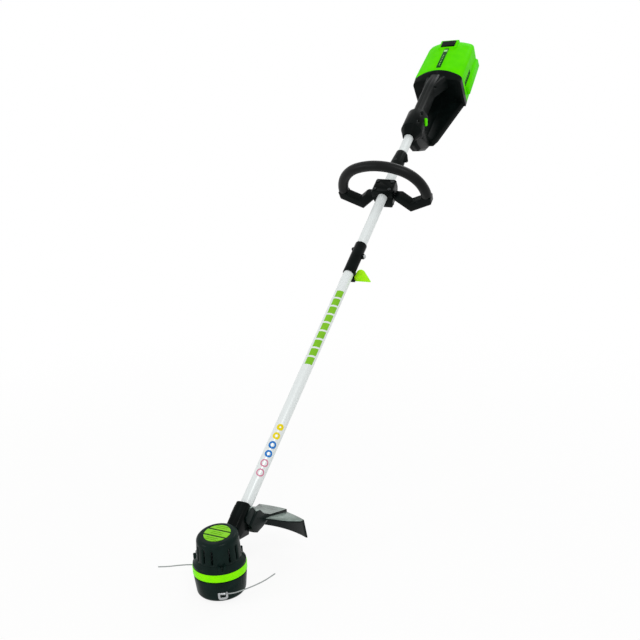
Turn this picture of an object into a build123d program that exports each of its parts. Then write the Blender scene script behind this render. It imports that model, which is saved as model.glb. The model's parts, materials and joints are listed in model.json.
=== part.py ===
"""A cordless string trimmer: motor head with a two-line bump-feed spool, guard, two-piece shaft,
coupler, loop handle, strap hanger and a rear handle that carries the battery.

Units are millimetres. The origin is the middle of the flat face that rests on the ground under
the bump knob, +Z is the head's spin axis, +Y is where the shaft points on the ground, and +X is
the user's right when facing along +Y. The tool is symmetric about X = 0, small parts apart.

Pieces on the shaft are drawn in the tool frame: x along the shaft from where its axis crosses the
spin axis, y up and square to the shaft, z to the tool's right. to_world() lays them in place.
"""
import os
from math import cos, radians, sin, tan

from build123d import *

# Shaft
SHAFT_ANGLE = 35.5          # rise of the shaft above the ground, degrees
SHAFT_CROSSING = 60.7       # height where the shaft's axis crosses the spin axis
TUBE_R = 12.7
TUBE_WALL = 1.5
LOWER_TUBE_START = 70.0
LOWER_TUBE_LENGTH = 781.0
TUBE_JOINT_GAP = 1.0
UPPER_TUBE_LENGTH = 473.0
CABLE_R = 3.5
GROMMET_INSET = 50.0

# Fits
RUNNING_FIT = 0.06          # radial clearance of a turning shaft or a sliding clamp
PLAY = 0.4                  # gap between a moving piece and what guides it
WALL = 3.0                  # walls of the moulded rear shells

# Motor head
CAP_TOP = 126.0             # height of the cap's roof on the spin axis
CAP_TILT = 7.5              # the roof rises toward the shaft, degrees
CAP_R = 41.0
CAP_FOOT_R = 44.0
CAP_FOOT_Z = 77.0
CAP_WALL = 3.4
CAP_ROUND = 9.0
CAP_SLOTS = 15              # slot places round the cap; every fifth one holds a tower instead
CAP_SLOT_WIDTH = 3.6
CAP_SLOT_TOP = 108.0
FLUTE_R = 5.0
FLUTE_DEPTH = 2.0
FIRST_TOWER_ANGLE = -50.0
TOWER_WIDTH = 16.0
TOWER_TOP = 81.0
RIM_R = 52.0
RIM_TOP = 70.0
RING_R = 53.0
RING_THICKNESS = 2.5
RING_BOTTOM = 50.0
RING_HEIGHT = 15.0
BASE_FLOOR = 61.0
FLOOR_THICKNESS = 5.0
BEARING_R = 11.0
BEARING_WIDTH = 7.0
MOTOR_SHAFT_R = 4.0
VENT_R = 26.5
VENT_BAR = 4.0              # black bars between the three bands of the vent
STATOR_R = 30.8
STATOR_BORE_R = 17.0
STATOR_BOTTOM = 84.0
STATOR_HEIGHT = 20.0
STATOR_TEETH = 6
AIR_GAP = 0.6
BOSS_CIRCLE_R = 35.0
BOSS_R = 4.0
SCREW_R = 1.5
SCREW_HEAD_R = 3.0
SCREW_HEAD_HEIGHT = 2.2

# Cutting head
DRUM_TOP = 48.0
DRUM_TOP_R = 52.3
DRUM_BOTTOM = 4.5
DRUM_BOTTOM_R = 47.5
DRUM_ROUND = 10.0
DRUM_WALL = 3.0
DRUM_HUB_R = 12.0
MOUTH_R = 36.5
KNOB_R = 31.7
KNOB_FACE_R = 25.0
KNOB_FLANGE_Z = 10.4
KNOB_FLANGE = 2.0
KNOB_STEM_R = 7.0
KNOB_STEM_TOP = 32.0
SPOOL_BOTTOM = 19.0
SPOOL_TOP = 42.0
SPOOL_R = 35.5
SPOOL_CORE_R = 20.0
SPOOL_BORE_R = 12.5
SPOOL_FLANGE = 2.0
SPRING_WIRE_R = 0.8
SPRING_TURNS = 6
LINE_R = 1.2
EYELET_ANGLE = -53.0
EYELET_Z = 20.5
EYELET_WIDTH = 19.0
EYELET_PROUD = 3.6          # how far the steel frame stands out of the drum's foot
EXIT_LEAN = 78.0            # lean of the line's exit from straight out, degrees
EXIT_POINT = (51.8, 4.5, EYELET_Z + 4.5)

# Guard
GUARD_R = 212.0
GUARD_THICKNESS = 3.0
GUARD_HALF_ANGLE = 25.5
GUARD_BOTTOM = 40.0
GUARD_FRONT = 152.0         # where the roof's heights are given
GUARD_RIDGE = 98.0          # height of the raised middle of the roof
GUARD_STEP = 5.4            # drop from the raised middle to the sides
GUARD_FALL = 0.2            # fall of the roof away from the shaft
RIB_HEIGHT = 12.0
CHEEK_HALF_WIDTH = 19.5
BRACKET_HALF_WIDTH = 23.5
BLADE_HEIGHT = 32.0

# Neck
NECK_START = 36.0
NECK_END = 129.0
NECK_HALF_WIDTH = 15.5
NECK_HALF_HEIGHT = 19.0
NECK_ROUND = 9.0

# Coupler
COUPLER_LAP = 77.0          # length of the sleeve over the lower tube
COUPLER_LENGTH = 98.0
COUPLER_R = 14.9
LUG_LENGTH = 22.0
LUG_DROP = 27.0
LUG_HALF_WIDTH = 10.0
CLAMP_BOLT_R = 3.0
CLAMP_BOLT_Y = -20.0
WING_THICKNESS = 4.5
PIN_SETBACK = 13.0          # the lock pin's distance from the lower tube's end
PIN_Y = -5.0
PIN_R = 5.0
SLEEVE_SCREW_AHEAD = 5.5    # the sleeve screw's distance from the upper tube's start
SLEEVE_BOSS = 2.5

# Loop handle
LOOP_PLACE = 212.0          # the loop's distance along the upper tube
LOOP_TURN = 4.6             # the loop is turned about the shaft, right side down, degrees
LOOP_CLAMP_AHEAD = 18.0
LOOP_CLAMP_LENGTH = 46.0
LOOP_CLAMP_HALF_WIDTH = 28.0
LOOP_SADDLE_HEIGHT = 22.0
LOOP_BLOCK_DROP = 34.0
LOOP_TOP = 91.3             # top of the loop's centreline above the shaft's axis
LOOP_TOP_R = 160.0          # arc over the top
LOOP_SIDE_R = 88.0          # arcs down the sides
LOOP_SIDE_TURN = 22.0       # where the top arc meets a side arc, degrees from upright
LOOP_CORE_R = 11.0
LOOP_GRIP_R = 13.6
LOOP_LEG_WIDTH = 26.0
LOOP_ROOT = (22.0, 8.0)       # centreline of a leg: inside the clamp and at the knee
LOOP_KNEE = (69.0, -36.4)
LOOP_CORNER_DROP = 7.5      # the side arc ends this far below its centre's level, degrees
LOOP_BOLT_R = 2.5

# Strap hanger
HANGER_PLACE = 306.0        # the hanger's distance along the upper tube
HANGER_LENGTH = 60.0
HANGER_R = 19.0
HANGER_NECK_R = 15.5
EYE_R = 5.0
EYE_RIM = 5.0
EYE_DROP = 25.0
EYE_THICKNESS = 6.0

# Rear handle
HANDLE_LAP = 49.0           # length of the upper tube inside the handle's own frame
HUB_SETBACK = 10.0          # the hub's mouth in the handle's frame
HUB_MOUTH_R = 18.0
HUB_R = 30.0
HUB_TAPER = 26.0
HUB_FACETS = 12
HUB_LENGTH = 90.0
GRIP_HALF_WIDTH = 16.0
GRIP_TOP = 17.0
GRIP_DEPTH = 21.0
GRIP_ROUND = 8.0
GRIP_START = 59.0           # places along the handle are measured in its own frame
GRIP_LENGTH = 218.0         # from the grip's start to the front face of the battery housing
SHOULDER_DEPTH = 30.0
BAY_LENGTH = 152.0
BAY_REAR_ROUND = 18.0
# The housing's outline at its front, shoulder, back and rear: roof height, half width and height
# of the shoulder, half width and height of the foot
BAY_FRONT_FORM = (-1.0, 73.0, -12.0, 73.0, -101.5)
BAY_SHOULDER_FORM = (9.5, 74.0, -10.0, 70.0, -102.5)
BAY_BACK_FORM = (7.0, 71.0, -12.0, 65.0, -97.0)
BAY_REAR_FORM = (1.0, 68.0, -14.0, 64.0, -96.0)
BAY_CORNER = 13.0           # rounding of the housing's shoulders
SEAM_R = 290.0              # curve of the seam between black and green shells, seen from above
PLATE_BOTTOM = -102.5
PLATE_THICKNESS = 14.0
BATTERY_SETBACK = 48.0      # the battery's distance behind the housing's front face
BATTERY_OVERHANG = 5.0
BATTERY_CLEARANCE = 0.6
TRIGGER_PLACE = (116.0, -13.0)
TRIGGER_HALF_WIDTH = 7.0
TRIGGER_PIN_R = 2.0
LOCK_PLACE = (77.0, 0.0)
LOCK_WIDTH = 12.5
LOCK_LENGTH = 22.0
LOCK_LEAN = 51.0            # lean of the button's long side from the shaft, degrees
LOCK_PROUD = 3.5
LOCK_FOOT = 11.0            # how far from the middle the button's slot begins
RAIL_SETBACK = 9.0          # the side rails' distance behind the shoulder
RAIL_SIDE = 79.0            # half width over the side rails at their front
RAIL_TAPER = 0.05
VENT_DEPTH = 1.5
VENT_SETBACK = 4.0
VENT_LENGTH = 66.0
VENT_SLOTS = 6
LABEL_SETBACK = 12.0
LABEL_LENGTH = 96.0
LABEL_HALF = 6.5
LATCH_SETBACK = 36.0
LATCH_LENGTH = 26.0
LATCH_HALF_WIDTH = 21.0
LATCH_TOP = 13.0
LATCH_FRAME_TOP = 9.5
BOSS_PLACE = (224.0, 8.0)
BOSS_SCREW_R = 4.5
HANDLE_SCREW_R = 1.5

# Worked-out places
TUBE_BORE_R = TUBE_R - TUBE_WALL
LOWER_TUBE_END = LOWER_TUBE_START + LOWER_TUBE_LENGTH
UPPER_TUBE_START = LOWER_TUBE_END + TUBE_JOINT_GAP
UPPER_TUBE_END = UPPER_TUBE_START + UPPER_TUBE_LENGTH
COUPLER_START = LOWER_TUBE_END - COUPLER_LAP
COUPLER_END = COUPLER_START + COUPLER_LENGTH
PIN_PLACE = (LOWER_TUBE_END - PIN_SETBACK, PIN_Y)
SLEEVE_SCREW_X = UPPER_TUBE_START + SLEEVE_SCREW_AHEAD
LOOP_PLANE = UPPER_TUBE_START + LOOP_PLACE
LOOP_CLAMP_START = LOOP_PLANE - LOOP_CLAMP_AHEAD
HANGER_START = UPPER_TUBE_START + HANGER_PLACE
HANDLE_START = UPPER_TUBE_END - HANDLE_LAP
RING_TOP = RING_BOTTOM + RING_HEIGHT
RING_SEAT_R = RING_R - RING_THICKNESS
STATOR_TOP = STATOR_BOTTOM + STATOR_HEIGHT
TOWER_ANGLES = [FIRST_TOWER_ANGLE + 120 * i for i in range(3)]
EXIT_DIRECTION = (cos(radians(EXIT_LEAN)), sin(radians(EXIT_LEAN)), 0)
LUG_START = COUPLER_START - 4
CLAMP_BOLT_X = LUG_START + LUG_LENGTH / 2
LOOP_CLAMP_END = LOOP_CLAMP_START + LOOP_CLAMP_LENGTH
HUB_START = HUB_SETBACK
HUB_END = HUB_START + HUB_LENGTH
BAY_FRONT = GRIP_START + GRIP_LENGTH
BAY_SHOULDER = BAY_FRONT + SHOULDER_DEPTH
BAY_REAR = BAY_SHOULDER + BAY_LENGTH
BAY_BACK = BAY_REAR - BAY_REAR_ROUND
BATTERY_START = BAY_FRONT + BATTERY_SETBACK
RAIL_START = BAY_SHOULDER + RAIL_SETBACK
SHAFT_DIRECTION = (0, cos(radians(SHAFT_ANGLE)), sin(radians(SHAFT_ANGLE)))
TOOL_PLANE = Plane(origin=(0, 0, SHAFT_CROSSING), x_dir=SHAFT_DIRECTION, z_dir=(1, 0, 0))
ROOF_PLANE = Plane(origin=(0, 0, CAP_TOP), x_dir=(1, 0, 0),
                   z_dir=(0, -sin(radians(CAP_TILT)), cos(radians(CAP_TILT))))
LOW = (Align.CENTER, Align.CENTER, Align.MIN)
CORNER = (Align.MIN, Align.MIN, Align.MIN)

pieces = {}


# ---------------------------------------------------------------- helpers
def to_world(shape):
    """Moves a shape from the tool frame to its place."""
    return TOOL_PLANE.location * shape


def handle_to_world(shape):
    """Moves a shape from the rear handle's frame, which starts a little ahead of the hub, to its place."""
    return to_world(Pos(HANDLE_START, 0, 0) * shape)


def loop_to_world(shape):
    """Moves a shape drawn upright round the tube to its place in the turned loop handle."""
    return to_world(Rot(LOOP_TURN, 0, 0) * shape)


def outline(points, rounds=None):
    """A closed polygon; rounds gives a fillet radius for the point with that number."""
    face = make_face(Polyline(*points, close=True))
    for number, radius in (rounds or {}).items():
        corner = face.vertices().sort_by_distance(Vector(*points[number]))[0]
        face = fillet([corner], radius)
    return face


def turned(points, rounds=None):
    """A solid turned about the spin axis from (radius, height) points."""
    return revolve(Plane.XZ * outline(points, rounds), Axis.Z)


def disc(radius, bottom, top, x=0.0, y=0.0):
    return Pos(x, y, bottom) * Cylinder(radius, top - bottom, align=LOW)


def ring(outer, inner, bottom, top):
    return disc(outer, bottom, top) - disc(inner, bottom, top)


def block(x0, x1, y0, y1, z0, z1):
    return Pos(x0, y0, z0) * Box(x1 - x0, y1 - y0, z1 - z0, align=CORNER)


def rod(start, end, radius, y=0.0, z=0.0):
    """A round bar along the shaft."""
    return Pos(start, y, z) * Rot(0, 90, 0) * Cylinder(radius, end - start, align=LOW)


def pipe(start, end, outer, inner):
    return rod(start, end, outer) - rod(start, end, inner)


def cross_rod(low, high, radius, x, y):
    """A round bar from the tool's left to its right."""
    return Pos(x, y, low) * Cylinder(radius, high - low, align=LOW)


def up_rod(low, high, radius, x, z):
    """A round bar square to the shaft, along the tool frame's y."""
    return Pos(x, low, z) * Rot(-90, 0, 0) * Cylinder(radius, high - low, align=LOW)


def side_plate(points, half_width, rounds=None):
    """A plate with the given side outline, centred on the tool's middle plane."""
    return extrude(Pos(0, 0, -half_width) * outline(points, rounds), 2 * half_width)


def cross_section(x, points):
    """A polygon of (right, up) points in the plane square to the shaft at x."""
    plane = Plane(origin=(x, 0, 0), x_dir=(0, 0, 1), z_dir=(-1, 0, 0))
    return plane * outline(points)


def mirrored(points):
    """Completes a right-hand half outline, listed from top to bottom, with its left half."""
    return points + [(-right, up) for right, up in reversed(points)]


def around(shape, angles):
    return [Rot(0, 0, angle) * shape for angle in angles]


def screw(length, radius=SCREW_R, head_radius=SCREW_HEAD_R, head=SCREW_HEAD_HEIGHT):
    """A screw along -Z with its head's top at the origin and a cross in the head."""
    body = disc(head_radius, -head, 0) + disc(radius, -head - length, -head)
    cross = Box(head_radius * 1.2, head_radius * 0.3, head) + Box(head_radius * 0.3, head_radius * 1.2, head)
    return body - cross


def keep(name, shape):
    pieces[name] = shape
    return shape


# ---------------------------------------------------------------- motor head
def tower():
    """A V-notched clip tower that stands on the base's shoulder, pointing along +X."""
    half = TOWER_WIDTH / 2
    foot = BASE_FLOOR + FLOOR_THICKNESS
    points = [(-half, foot), (half, foot), (half, TOWER_TOP), (half / 2, TOWER_TOP),
              (0, RIM_TOP + 1), (-half / 2, TOWER_TOP), (-half, TOWER_TOP)]
    outer = RIM_R - 0.2
    return extrude(Plane.YZ.offset(CAP_R) * outline(points), outer - CAP_R)


def cap_radius(height):
    """The cap's outer radius at a height."""
    return CAP_FOOT_R - (height - CAP_FOOT_Z) * (CAP_FOOT_R - CAP_R) / (CAP_TOP - CAP_FOOT_Z)


def cap_form(wall):
    """The cap's outside, or its inside when wall is more than nothing."""
    above = CAP_TOP + CAP_R * tan(radians(CAP_TILT)) + 5
    body = turned([(0, CAP_FOOT_Z), (CAP_FOOT_R - wall, CAP_FOOT_Z), (cap_radius(above) - wall, above), (0, above)])
    body = split(body, bisect_by=ROOF_PLANE.offset(-wall), keep=Keep.BOTTOM)
    return fillet(body.edges().sort_by(Axis.Z)[-1], CAP_ROUND - wall)


def head_envelope():
    """Everything inside the outside of the fixed head, to trim pieces that join it."""
    body = turned([(0, RING_BOTTOM), (RING_R, RING_BOTTOM), (RING_R, RING_TOP), (RIM_R, RING_TOP),
                   (RIM_R, RIM_TOP), (CAP_FOOT_R, CAP_FOOT_Z), (0, CAP_FOOT_Z)])
    body += cap_form(0)
    for copy in around(tower(), TOWER_ANGLES):
        body += copy
    return body


def motor_base():
    floor_top = BASE_FLOOR + FLOOR_THICKNESS
    boss_r = BEARING_R + 4
    boss_top = floor_top + BEARING_WIDTH
    bore_r = BEARING_R - 4
    skirt_r = CAP_R - 2
    body = turned([(bore_r, BASE_FLOOR), (RING_SEAT_R - 4.5, BASE_FLOOR), (RING_SEAT_R - 4.5, RING_BOTTOM),
                   (RING_SEAT_R, RING_BOTTOM), (RING_SEAT_R, RING_TOP), (RIM_R, RING_TOP), (RIM_R, RIM_TOP),
                   (CAP_FOOT_R, CAP_FOOT_Z), (skirt_r, CAP_FOOT_Z), (skirt_r, floor_top),
                   (STATOR_R, floor_top), (STATOR_R, STATOR_BOTTOM), (STATOR_R - 3.5, STATOR_BOTTOM),
                   (STATOR_R - 3.5, floor_top), (boss_r, floor_top), (boss_r, boss_top),
                   (BEARING_R, boss_top), (BEARING_R, floor_top), (bore_r, floor_top)])
    for copy in around(tower() - disc(CAP_FOOT_R, CAP_FOOT_Z, TOWER_TOP + 1), TOWER_ANGLES):
        body += copy
    for angle in TOWER_ANGLES:
        body -= Rot(0, 0, angle) * disc(SCREW_R, BASE_FLOOR - 1, floor_top + 1, BOSS_CIRCLE_R)
    return body


def trim_ring():
    body = ring(RING_R, RING_SEAT_R, RING_BOTTOM, RING_TOP)
    edges = body.edges().filter_by(GeomType.CIRCLE).filter_by(lambda e: e.radius > RING_R - 0.1)
    return fillet(edges, 0.8)


def vent_bands(radius, bottom, top):
    """Three bands of a disc, parted by two bars along X."""
    body = disc(radius, bottom, top)
    pitch = (2 * VENT_R - 2 * VENT_BAR) / 3 + VENT_BAR
    bar = VENT_BAR - 2 * (radius - VENT_R)
    for y in (-pitch / 2, pitch / 2):
        body -= Pos(0, y, (bottom + top) / 2) * Box(2 * radius + 1, bar, top - bottom + 1)
    return body


def flute():
    """The cutter for one upright groove in the cap's wall."""
    stand_off = FLUTE_R - FLUTE_DEPTH
    low = CAP_FOOT_Z + FLUTE_R + 1
    start = Vector(cap_radius(low) + stand_off, 0, low)
    end = Vector(cap_radius(CAP_SLOT_TOP) + stand_off, 0, CAP_SLOT_TOP)
    body = Plane(origin=start, z_dir=end - start) * Cylinder(FLUTE_R, (end - start).length, align=LOW)
    return body + Pos(start) * Sphere(FLUTE_R) + Pos(end) * Sphere(FLUTE_R)


def motor_cap():
    hollow = cap_form(CAP_WALL)
    for angle in TOWER_ANGLES:
        hollow -= Rot(0, 0, angle) * disc(BOSS_R, CAP_FOOT_Z - 1, CAP_TOP + 20, BOSS_CIRCLE_R)
    body = cap_form(0) - hollow
    slot = block(CAP_R - CAP_WALL - 4, CAP_FOOT_R + 4, -CAP_SLOT_WIDTH / 2, CAP_SLOT_WIDTH / 2,
                 CAP_FOOT_Z + 4, CAP_SLOT_TOP)
    for place in range(CAP_SLOTS):
        if place % 5:
            turn = Rot(0, 0, FIRST_TOWER_ANGLE + place * 360 / CAP_SLOTS)
            body -= turn * flute()
            body -= turn * slot
    body -= ROOF_PLANE.location * vent_bands(VENT_R + 0.2, -CAP_WALL - 1, 1)
    for angle in TOWER_ANGLES:
        body -= Rot(0, 0, angle) * disc(SCREW_R, CAP_FOOT_Z - 1, CAP_FOOT_Z + 24, BOSS_CIRCLE_R)
    return body - to_world(rod(0, NECK_END, CABLE_R + 1.5))


def vent_insert():
    body = disc(VENT_R + 3, -CAP_WALL - 2, -CAP_WALL) + vent_bands(VENT_R, -CAP_WALL, 0.8)
    pitch = (2 * VENT_R - 2 * VENT_BAR) / 3 + VENT_BAR
    for y in (-pitch, 0, pitch):
        for shift in (-2.6, 2.6):
            body -= Pos(0, y + shift, 0) * Box(26, 1.5, 12)
    return ROOF_PLANE.location * body


def cap_screws():
    length = CAP_FOOT_Z + 20 - BASE_FLOOR
    one = Pos(BOSS_CIRCLE_R, 0, BASE_FLOOR) * Rot(180, 0, 0) * Pos(0, 0, SCREW_HEAD_HEIGHT) * screw(length)
    return Compound(around(one, TOWER_ANGLES))


def stator():
    tooth_width = 5.0
    coil_width = 11.0
    yoke_r = STATOR_R - 5
    core = ring(STATOR_R, yoke_r, STATOR_BOTTOM, STATOR_TOP)
    tooth = block(STATOR_BORE_R, yoke_r + 1, -tooth_width / 2, tooth_width / 2, STATOR_BOTTOM, STATOR_TOP)
    angles = [i * 360 / STATOR_TEETH for i in range(STATOR_TEETH)]
    for copy in around(tooth, angles):
        core += copy
    winding = block(STATOR_BORE_R + 1.5, yoke_r - 0.5, -coil_width / 2, coil_width / 2,
                    STATOR_BOTTOM - 3, STATOR_TOP + 3)
    winding = fillet(winding.edges().filter_by(Axis.Z), 1.2) - tooth
    return core, Compound(around(winding, angles))


def motor_bracket():
    """The upper bearing's plate, which rests on the stator and is held by the cap's bosses."""
    plate_bottom = STATOR_TOP + 3.5
    boss_r = BEARING_R + 3
    body = turned([(BEARING_R, plate_bottom), (STATOR_R - 4, plate_bottom), (STATOR_R - 4, STATOR_TOP),
                   (STATOR_R, STATOR_TOP), (STATOR_R, plate_bottom), (CAP_R - CAP_WALL - 1.5, plate_bottom),
                   (CAP_R - CAP_WALL - 1.5, plate_bottom + 3), (boss_r, plate_bottom + 3),
                   (boss_r, plate_bottom + BEARING_WIDTH + 2), (BEARING_R - 3, plate_bottom + BEARING_WIDTH + 2),
                   (BEARING_R - 3, plate_bottom + BEARING_WIDTH), (BEARING_R, plate_bottom + BEARING_WIDTH)])
    for angle in TOWER_ANGLES:
        body -= Rot(0, 0, angle) * disc(BOSS_R, STATOR_TOP - 1, plate_bottom + 4, BOSS_CIRCLE_R)
    return body


def motor_bearings():
    lower = BASE_FLOOR + FLOOR_THICKNESS
    upper = STATOR_TOP + 3.5
    return Compound([ring(BEARING_R, MOTOR_SHAFT_R, z, z + BEARING_WIDTH) for z in (lower, upper)])


def build_motor_head():
    keep("motor_base", motor_base())
    keep("trim_ring", trim_ring())
    keep("motor_cap", motor_cap())
    keep("vent_insert", vent_insert())
    keep("cap_screws", cap_screws())
    core, windings = stator()
    keep("stator_core", core)
    keep("stator_windings", windings)
    keep("motor_bracket", motor_bracket())
    keep("motor_bearings", motor_bearings())


# ---------------------------------------------------------------- cutting head
def eyelets():
    """The two steel line guides: a U frame let into the drum and a barrel that the line leaves."""
    outer = EYELET_WIDTH / 2
    inner = outer - 4
    frame = outline([(-outer, EYELET_Z + 7), (-outer, EYELET_Z - 8), (outer, EYELET_Z - 8), (outer, EYELET_Z + 7)],
                    {1: 6, 2: 6})
    window = outline([(-inner, EYELET_Z + 8), (-inner, EYELET_Z - 3.5), (inner, EYELET_Z - 3.5),
                      (inner, EYELET_Z + 8)], {1: 2, 2: 2})
    body = extrude(Plane.YZ.offset(DRUM_BOTTOM_R) * (frame - window), EYELET_PROUD)
    end = Vector(*EXIT_POINT)
    start = end - Vector(*EXIT_DIRECTION) * 10
    barrel = Plane(origin=start, z_dir=EXIT_DIRECTION) * Cylinder(2.3, 10, align=LOW)
    return [Rot(0, 0, EYELET_ANGLE) * (body + barrel), Rot(0, 0, EYELET_ANGLE + 180) * (body + barrel)]


def spool_housing(guides):
    shaft_r = MOTOR_SHAFT_R - RUNNING_FIT
    ceiling = DRUM_TOP - DRUM_WALL
    floor = DRUM_BOTTOM + DRUM_WALL
    body = turned([(shaft_r, ceiling - 1), (shaft_r, DRUM_TOP + 8), (9, DRUM_TOP + 8), (9, DRUM_TOP),
                   (DRUM_TOP_R, DRUM_TOP), (DRUM_BOTTOM_R, DRUM_BOTTOM), (MOUTH_R, DRUM_BOTTOM),
                   (MOUTH_R, floor), (DRUM_BOTTOM_R - DRUM_WALL, floor), (DRUM_TOP_R - DRUM_WALL, ceiling),
                   (DRUM_HUB_R, ceiling), (DRUM_HUB_R, ceiling - 1)],
                  {5: DRUM_ROUND, 8: DRUM_ROUND - DRUM_WALL})
    for guide in guides:
        body -= guide
    return body


def bump_knob():
    top = KNOB_FLANGE_Z + KNOB_FLANGE
    flange_r = MOUTH_R - 3
    return turned([(0, 0), (KNOB_FACE_R, 0), (KNOB_R, 7), (KNOB_R, KNOB_FLANGE_Z), (flange_r, KNOB_FLANGE_Z),
                   (flange_r, top), (KNOB_STEM_R, top), (KNOB_STEM_R, KNOB_STEM_TOP), (0, KNOB_STEM_TOP)],
                  {2: 5})


def bump_spring():
    bottom = KNOB_FLANGE_Z + KNOB_FLANGE + SPRING_WIRE_R
    top = DRUM_TOP - DRUM_WALL - 1 - SPRING_WIRE_R
    radius = (KNOB_STEM_R + SPOOL_BORE_R) / 2
    path = Pos(0, 0, bottom) * Helix((top - bottom) / SPRING_TURNS, top - bottom, radius)
    return sweep(Plane(origin=path @ 0, z_dir=path % 0) * Circle(SPRING_WIRE_R), path=path)


def line_spool():
    return turned([(SPOOL_BORE_R, SPOOL_BOTTOM), (SPOOL_R, SPOOL_BOTTOM), (SPOOL_R, SPOOL_BOTTOM + SPOOL_FLANGE),
                   (SPOOL_CORE_R, SPOOL_BOTTOM + SPOOL_FLANGE), (SPOOL_CORE_R, SPOOL_TOP - SPOOL_FLANGE),
                   (SPOOL_R, SPOOL_TOP - SPOOL_FLANGE), (SPOOL_R, SPOOL_TOP), (SPOOL_BORE_R, SPOOL_TOP)])


def cutting_line(name, points):
    """A free end of cutting line: straight runs joined by arcs as large as the runs allow."""
    radii = []
    for before, here, after in zip(points, points[1:], points[2:]):
        first = Vector(*here) - Vector(*before)
        second = Vector(*after) - Vector(*here)
        half_turn = radians(first.get_angle(second)) / 2
        radii.append(0.45 * min(first.length, second.length) / tan(half_turn))
    path = FilletPolyline(*points, radius=radii)
    body = sweep(Plane(origin=path @ 0, z_dir=path % 0) * Circle(LINE_R), path=path)
    print(name, "length", round(path.length, 1), "radii", [round(r, 1) for r in radii])
    return body


def build_cutting_head():
    guides = eyelets()
    keep("spool_housing", spool_housing(guides))
    keep("line_eyelets", Compound(guides))
    keep("spool_retainer", turned([(KNOB_R + PLAY, 6), (MOUTH_R, 6), (MOUTH_R, 12), (MOUTH_R - 1.5, 12),
                                   (MOUTH_R - 1.5, KNOB_FLANGE_Z - PLAY), (KNOB_R + PLAY, KNOB_FLANGE_Z - PLAY)]))
    shaft_r = MOTOR_SHAFT_R - RUNNING_FIT
    hub_bottom = DRUM_TOP - DRUM_WALL - 1
    keep("motor_shaft", disc(shaft_r, hub_bottom - 6, STATOR_TOP + 3.5 + BEARING_WIDTH))
    rotor_r = STATOR_BORE_R - AIR_GAP
    keep("motor_rotor", ring(rotor_r, shaft_r, STATOR_BOTTOM, STATOR_TOP))
    nut = extrude(Pos(0, 0, hub_bottom - 5) * RegularPolygon(7.5, 6), 5)
    keep("drive_nut", nut - disc(shaft_r, hub_bottom - 6, hub_bottom))
    keep("bump_spring", bump_spring())
    keep("bump_knob", bump_knob())
    keep("line_spool", line_spool())
    keep("wound_line", ring(SPOOL_R - 3, SPOOL_CORE_R, SPOOL_BOTTOM + SPOOL_FLANGE, SPOOL_TOP - SPOOL_FLANGE))
    turn = Rot(0, 0, EYELET_ANGLE)
    exit_a = (turn * Pos(*EXIT_POINT)).position
    first_run = Vector(*EXIT_DIRECTION).rotate(Axis.Z, EYELET_ANGLE) * 13
    bend_a = exit_a + first_run
    route_a = [exit_a, bend_a, (57.5, -17.5, 25), (69, 4, 24.6), (78, 27, 24.1), (82.5, 47, 23.6),
               (84.5, 64, 23)]
    keep("line_a", cutting_line("line_a", [tuple(p) for p in route_a]))
    exit_b = Vector(-exit_a.X, -exit_a.Y, exit_a.Z)
    bend_b = Vector(-bend_a.X, -bend_a.Y, bend_a.Z)
    route_b = [exit_b, bend_b, (-68, 31.5, 25), (-90, 28.5, 24.7), (-113, 17, 24.2), (-134, 3, 23.7),
               (-151, -3.5, 23.3)]
    keep("line_b", cutting_line("line_b", [tuple(p) for p in route_b]))


# ---------------------------------------------------------------- neck and guard
def neck_form():
    """The neck's outside, before it is trimmed to the head."""
    half = NECK_HALF_HEIGHT
    body = side_plate([(NECK_START, half), (NECK_END, half), (NECK_END, -half), (98, -half), (84, -half - 12),
                       (58, -6), (NECK_START, -6)], NECK_HALF_WIDTH)
    top = body.edges().filter_by(Axis.X).group_by(Axis.Y)[-1]
    body = fillet(top, NECK_ROUND)
    return chamfer(body.faces().sort_by(Axis.X)[-1].edges(), 1.5)


def build_neck(envelope):
    body = neck_form()
    body -= rod(LOWER_TUBE_START, NECK_END + 1, TUBE_R)
    body -= rod(NECK_START - 1, NECK_END, CABLE_R + 1.5)
    body = to_world(body) - envelope
    screw_y = NECK_HALF_HEIGHT - 4
    places = [(70, screw_y), (101, -screw_y), (125, -screw_y)]
    one = screw(2 * NECK_HALF_WIDTH - 8, 1.2, 2.4)
    head_z = NECK_HALF_WIDTH - 3
    screws = [to_world(Pos(x, y, head_z) * one) for x, y in places]
    for one, (x, y) in zip(screws, places):
        body -= one + to_world(cross_rod(head_z - SCREW_HEAD_HEIGHT, NECK_HALF_WIDTH + 1, 2.4, x, y))
    keep("neck_right", split(body, bisect_by=Plane.YZ, keep=Keep.TOP))
    keep("neck_left", split(body, bisect_by=Plane.YZ, keep=Keep.BOTTOM))
    keep("neck_screws", Compound(screws))


def guard_middle(inset):
    """The fan-shaped middle of the guard, where its roof is raised."""
    points = []
    for y in (GUARD_FRONT - 40, GUARD_R + 20):
        half = CHEEK_HALF_WIDTH + (y - GUARD_FRONT + 12) * 0.21 - inset
        points += [(half, y), (-half, y)]
    return extrude(outline([points[0], points[1], points[3], points[2]]), 2 * GUARD_RIDGE)


def guard_roof(body, drop):
    """Cuts a body to under the guard's roof, lowered by drop."""
    ridge = (0, GUARD_FRONT, GUARD_RIDGE - drop)
    middle = split(body & guard_middle(drop), bisect_by=Plane(origin=ridge, z_dir=(0, GUARD_FALL, 1)),
                   keep=Keep.BOTTOM)
    for side in (-1, 1):
        edge = (side * 26, GUARD_FRONT, GUARD_RIDGE - GUARD_STEP - drop)
        body = split(body, bisect_by=Plane(origin=edge, z_dir=(side * 0.12, GUARD_FALL, 1)), keep=Keep.BOTTOM)
    return body + middle


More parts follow.
